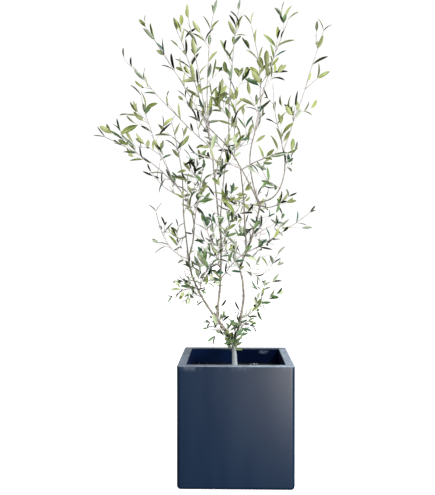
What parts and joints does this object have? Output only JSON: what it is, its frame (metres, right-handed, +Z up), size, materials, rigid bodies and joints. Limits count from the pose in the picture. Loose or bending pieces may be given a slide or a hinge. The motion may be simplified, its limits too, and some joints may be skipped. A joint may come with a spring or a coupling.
{
  "type": "potted olive tree",
  "caption": "Young olive tree with thin stems forking just above a square box planter of dark slate-blue fibre clay, its crown tall, airy and open.",
  "frame": {"origin": "centre of the planter's flat underside", "axes": "+Z up the trunk, -Y towards the viewer of the picture, +X to the viewer's right"},
  "size_m": [0.8615, 0.6417, 1.7462],
  "materials": {
    "planter": "satin",
    "soil": "matte",
    "bark": "matte",
    "foliage": "satin"
  },
  "bodies": {
    "root": {"planter": "planter", "soil": "soil", "trunk": "bark", "left_stem": "bark", "right_stem": "bark", "outer_left_bough": "bark", "centre_bough": "bark", "left_upper_bough": "bark", "right_bough": "bark", "right_upper_bough": "bark", "crossing_bough": "bark", "right_centre_bough": "bark", "centre_upper_bough": "bark", "back_bough": "bark", "front_bough": "bark", "left_back_bough": "bark", "top_left_shoot": "foliage", "upper_left_shoot": "foliage", "top_left_centre_shoot": "foliage", "top_centre_left_shoot": "foliage", "top_centre_shoot": "foliage", "top_centre_right_shoot": "foliage", "top_right_shoot": "foliage", "right_top_shoot": "foliage", "right_upper_shoot": "foliage", "left_top_shoot": "foliage", "left_upper_shoot": "foliage", "far_left_shoot": "foliage", "left_mid_shoot": "foliage", "left_lower_shoot": "foliage", "left_low_sprig": "foliage", "left_inner_sprig": "foliage", "centre_inner_sprig": "foliage", "right_inner_sprig": "foliage", "right_low_sprig": "foliage", "right_mid_sprig": "foliage", "right_lower_shoot": "foliage", "right_side_shoot": "foliage", "foot_right_sprig": "foliage", "foot_left_sprig": "foliage", "foot_sprig": "foliage", "front_left_shoot": "foliage", "front_right_shoot": "foliage", "front_low_shoot": "foliage", "back_left_shoot": "foliage", "back_right_shoot": "foliage", "back_low_shoot": "foliage", "left_back_shoot": "foliage", "left_back_low_shoot": "foliage", "centre_low_shoot": "foliage", "centre_right_shoot": "foliage", "right_back_shoot": "foliage", "crossing_low_shoot": "foliage", "left_front_shoot": "foliage", "left_back_base_shoot": "foliage", "centre_upper_right_shoot": "foliage", "right_inner_shoot": "foliage"}
  },
  "joints": []
}
